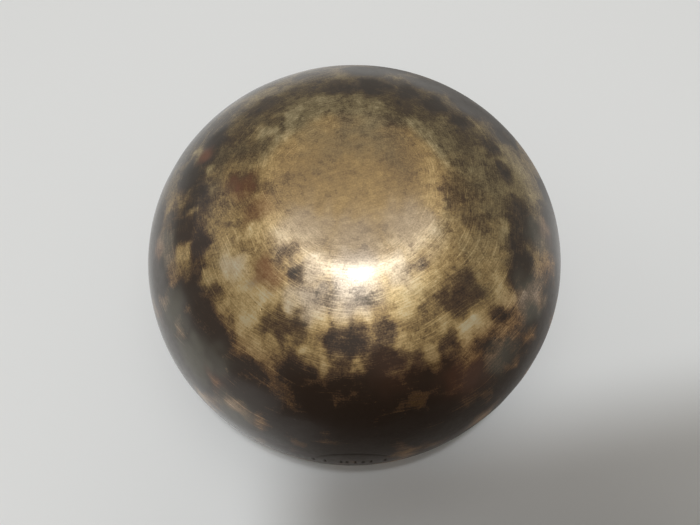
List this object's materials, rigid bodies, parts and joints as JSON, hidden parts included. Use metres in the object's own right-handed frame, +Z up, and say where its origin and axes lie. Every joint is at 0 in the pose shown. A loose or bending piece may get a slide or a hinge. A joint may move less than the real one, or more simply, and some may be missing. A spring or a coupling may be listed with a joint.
{
  "type": "singing bowl",
  "caption": "Hand-hammered bell-bronze singing bowl with a flat foot, round shoulder and thickened lip, resting mouth down.",
  "frame": {"origin": "centre of the mouth, in the plane that the rim rests on (bottom centre of the box)", "axes": "+Z up along the bowl's symmetry axis, from the rim to the foot, because the bowl rests mouth down; X and Y are any two directions across the mouth"},
  "size_m": [0.13, 0.13, 0.0685],
  "materials": {
    "bowl_bronze": "hammered, mottled dark patina over golden brown, worn bright round the foot"
  },
  "bodies": {
    "root": {"bowl": "bowl_bronze"}
  },
  "joints": []
}
